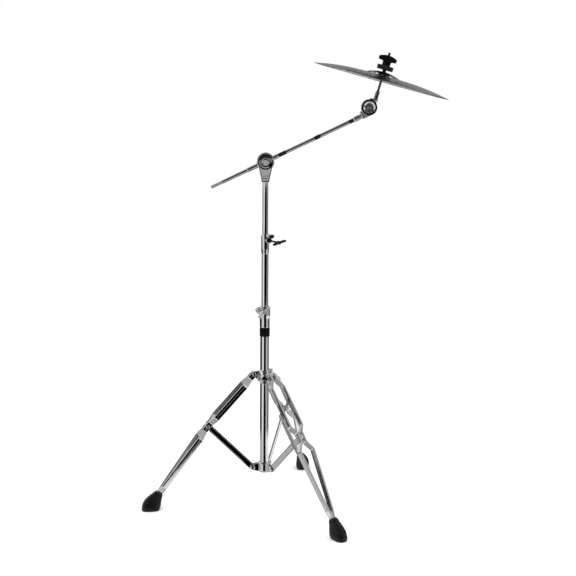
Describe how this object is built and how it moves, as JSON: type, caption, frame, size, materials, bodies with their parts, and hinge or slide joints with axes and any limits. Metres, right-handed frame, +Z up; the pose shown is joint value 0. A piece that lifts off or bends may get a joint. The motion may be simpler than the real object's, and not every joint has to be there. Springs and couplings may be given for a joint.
{
  "type": "crash cymbal on boom stand",
  "caption": "Crash cymbal on a chromed boom stand with a double-braced folding tripod, telescoping column, tilting boom and cymbal tilter.",
  "frame": {"origin": "on the floor, on the axis of the upright tubes", "axes": "+Z up along the tubes, +X towards the cymbal with the boom in the XZ plane, +Y to the back"},
  "size_m": [0.9628, 0.6982, 1.4644],
  "materials": {
    "chrome_tube": "mirror-polished chrome plate on round tube",
    "chrome_steel": "chrome plate on pressed steel",
    "cast_chrome": "chrome plate on die castings, slightly softer reflections",
    "bolts": "chrome plated fasteners",
    "threaded_rod": "turned and threaded steel",
    "knurled_steel": "fine knurling",
    "black_metal": "gloss black",
    "black_plastic": "moulded, fine grain",
    "nylon": "smooth nylon",
    "rubber": "matt, ribbed",
    "felt": "pressed wool felt",
    "cymbal_bronze": "lathed and hammered"
  },
  "bodies": {
    "base_column": {"base_tube": "chrome_tube", "base_tube_plug": "nylon", "lower_hub": "cast_chrome", "hub_pins": "bolts", "base_clamp": "cast_chrome", "base_clamp_nut": "bolts", "plain_band": "black_plastic"},
    "base_clamp_screw": {"base_clamp_wing_bolt": "bolts"},
    "collar": {"leg_collar": "cast_chrome", "collar_pins": "bolts"},
    "collar_screw": {"collar_key_bolt": "bolts"},
    "left_leg": {"left_leg_rail_a": "chrome_steel", "left_leg_rail_b": "chrome_steel", "left_knee_rivet": "bolts", "left_foot": "rubber"},
    "right_leg": {"right_leg_rail_a": "chrome_steel", "right_leg_rail_b": "chrome_steel", "right_knee_rivet": "bolts", "right_foot": "rubber"},
    "back_leg": {"back_leg_rail_a": "chrome_steel", "back_leg_rail_b": "chrome_steel", "back_knee_rivet": "bolts", "back_foot": "rubber"},
    "left_brace": {"left_brace": "chrome_steel"},
    "right_brace": {"right_brace": "chrome_steel"},
    "back_brace": {"back_brace": "chrome_steel"},
    "swivel_bushing": {"base_bushing": "nylon"},
    "middle_section": {"middle_tube": "chrome_tube", "middle_clamp": "cast_chrome", "middle_clamp_nut": "black_metal"},
    "middle_clamp_screw": {"middle_clamp_wing_bolt": "black_metal"},
    "upper_swivel_bushing": {"upper_bushing": "nylon"},
    "upper_section": {"upper_tube": "chrome_tube", "boom_yoke": "cast_chrome", "yoke_pin": "bolts", "boom_tilter_cap": "cast_chrome", "boom_tilter_ring": "black_plastic"},
    "boom_tilter_drum": {"tilt_drum": "cast_chrome"},
    "boom_tilter_screw": {"boom_tilter_wing_nut": "bolts"},
    "boom_roll_sleeve": {"boom_sleeve": "chrome_tube"},
    "boom_arm": {"boom_tube": "chrome_tube", "boom_grip_bands": "rubber", "boom_rear_end": "knurled_steel", "boom_end_collar": "chrome_tube", "tilter_lower_casting": "cast_chrome", "tilter_ring": "black_plastic", "tilter_bolt": "bolts"},
    "cymbal_tilter_screw": {"tilter_wing_nut": "bolts"},
    "cymbal_tilter": {"tilter_upper_casting": "cast_chrome", "cymbal_rod": "threaded_rod", "cup_washer": "bolts", "cymbal_sleeve": "nylon"},
    "cymbal_rocker": {"lower_felt": "felt"},
    "cymbal": {"cymbal": "cymbal_bronze"},
    "cymbal_nut": {"top_wing_nut": "black_plastic", "top_felt": "felt"}
  },
  "joints": [
    {"name": "leg_fold", "type": "slide", "parent": "base_column", "child": "collar", "axis": [0, 0, 1], "range_m": [0, 0.108]},
    {"name": "collar_screw_turn", "type": "hinge", "parent": "collar", "child": "collar_screw", "pos_m": [0, 0, 0.421], "axis": [0, -1, 0], "continuous": true},
    {"name": "left_leg_swing", "type": "hinge", "parent": "collar", "child": "left_leg", "pos_m": [-0.03457, -0.00547, 0.445], "axis": [0.1564, -0.9877, 0], "range_deg": [0, 29.58]},
    {"name": "right_leg_swing", "type": "hinge", "parent": "collar", "child": "right_leg", "pos_m": [0.02155, -0.02758, 0.445], "axis": [0.788, 0.6157, 0], "range_deg": [0, 29.58]},
    {"name": "back_leg_swing", "type": "hinge", "parent": "collar", "child": "back_leg", "pos_m": [0.01311, 0.03245, 0.445], "axis": [-0.9272, 0.3746, 0], "range_deg": [0, 29.58]},
    {"name": "left_brace_swing", "type": "hinge", "parent": "base_column", "child": "left_brace", "pos_m": [-0.03852, -0.0061, 0.1295], "axis": [-0.1564, 0.9877, 0], "range_deg": [0, 32.59]},
    {"name": "right_brace_swing", "type": "hinge", "parent": "base_column", "child": "right_brace", "pos_m": [0.02401, -0.03073, 0.1295], "axis": [-0.788, -0.6157, 0], "range_deg": [0, 32.59]},
    {"name": "back_brace_swing", "type": "hinge", "parent": "base_column", "child": "back_brace", "pos_m": [0.01461, 0.03616, 0.1295], "axis": [0.9272, -0.3746, 0], "range_deg": [0, 32.59]},
    {"name": "base_clamp_screw_turn", "type": "hinge", "parent": "base_column", "child": "base_clamp_screw", "pos_m": [-0.01994, -0.0093, 0.654], "axis": [0.4226, -0.9063, 0], "continuous": true},
    {"name": "lower_swivel", "type": "hinge", "parent": "base_column", "child": "swivel_bushing", "pos_m": [0, 0, 0.65], "axis": [0, 0, 1], "continuous": true},
    {"name": "lower_height", "type": "slide", "parent": "swivel_bushing", "child": "middle_section", "axis": [0, 0, 1], "range_m": [-0.16, 0.12]},
    {"name": "middle_clamp_screw_turn", "type": "hinge", "parent": "middle_section", "child": "middle_clamp_screw", "pos_m": [0, 0, 0.881], "axis": [0.5736, -0.8192, 0], "continuous": true},
    {"name": "upper_swivel", "type": "hinge", "parent": "middle_section", "child": "upper_swivel_bushing", "pos_m": [0, 0, 0.89], "axis": [0, 0, 1], "continuous": true},
    {"name": "upper_height", "type": "slide", "parent": "upper_swivel_bushing", "child": "upper_section", "axis": [0, 0, 1], "range_m": [-0.155, 0.15]},
    {"name": "boom_tilt", "type": "hinge", "parent": "upper_section", "child": "boom_tilter_drum", "pos_m": [0, 0, 1.127], "axis": [0, -1, 0], "range_deg": [-60, 34]},
    {"name": "boom_tilter_screw_turn", "type": "hinge", "parent": "boom_tilter_drum", "child": "boom_tilter_screw", "pos_m": [0, 0, 1.127], "axis": [0, -1, 0], "continuous": true},
    {"name": "boom_roll", "type": "hinge", "parent": "boom_tilter_drum", "child": "boom_roll_sleeve", "pos_m": [0, 0, 1.127], "axis": [0.9018, 0, 0.4321], "continuous": true},
    {"name": "boom_slide", "type": "slide", "parent": "boom_roll_sleeve", "child": "boom_arm", "axis": [0.9018, 0, 0.4321], "range_m": [-0.1, 0.08]},
    {"name": "cymbal_tilter_screw_turn", "type": "hinge", "parent": "boom_arm", "child": "cymbal_tilter_screw", "pos_m": [0.31932, 0, 1.29718], "axis": [0, 1, 0], "continuous": true},
    {"name": "cymbal_tilt", "type": "hinge", "parent": "boom_arm", "child": "cymbal_tilter", "pos_m": [0.31932, 0, 1.29718], "axis": [0, 1, 0], "range_deg": [-50, 60]},
    {"name": "cymbal_sway", "type": "hinge", "parent": "cymbal_tilter", "child": "cymbal_rocker", "pos_m": [0.36301, 0, 1.40479], "axis": [0, 1, 0], "range_deg": [-4, 4], "stiffness_Nm_per_rad": 8},
    {"name": "cymbal_spin", "type": "hinge", "parent": "cymbal_rocker", "child": "cymbal", "pos_m": [0.36301, 0, 1.40479], "axis": [0.2563, 0, 0.9666], "continuous": true},
    {"name": "cymbal_nut_turn", "type": "hinge", "parent": "cymbal_tilter", "child": "cymbal_nut", "pos_m": [0.33104, 0, 1.2938], "axis": [0.2768, 0, 0.9609], "continuous": true}
  ],
  "couplings": [
    {"joint": "left_leg_swing", "follows": "leg_fold", "rad_per_m": 4.7718},
    {"joint": "right_leg_swing", "follows": "leg_fold", "rad_per_m": 4.7718},
    {"joint": "back_leg_swing", "follows": "leg_fold", "rad_per_m": 4.7718},
    {"joint": "left_brace_swing", "follows": "leg_fold", "rad_per_m": 5.259},
    {"joint": "right_brace_swing", "follows": "leg_fold", "rad_per_m": 5.259},
    {"joint": "back_brace_swing", "follows": "leg_fold", "rad_per_m": 5.259}
  ]
}
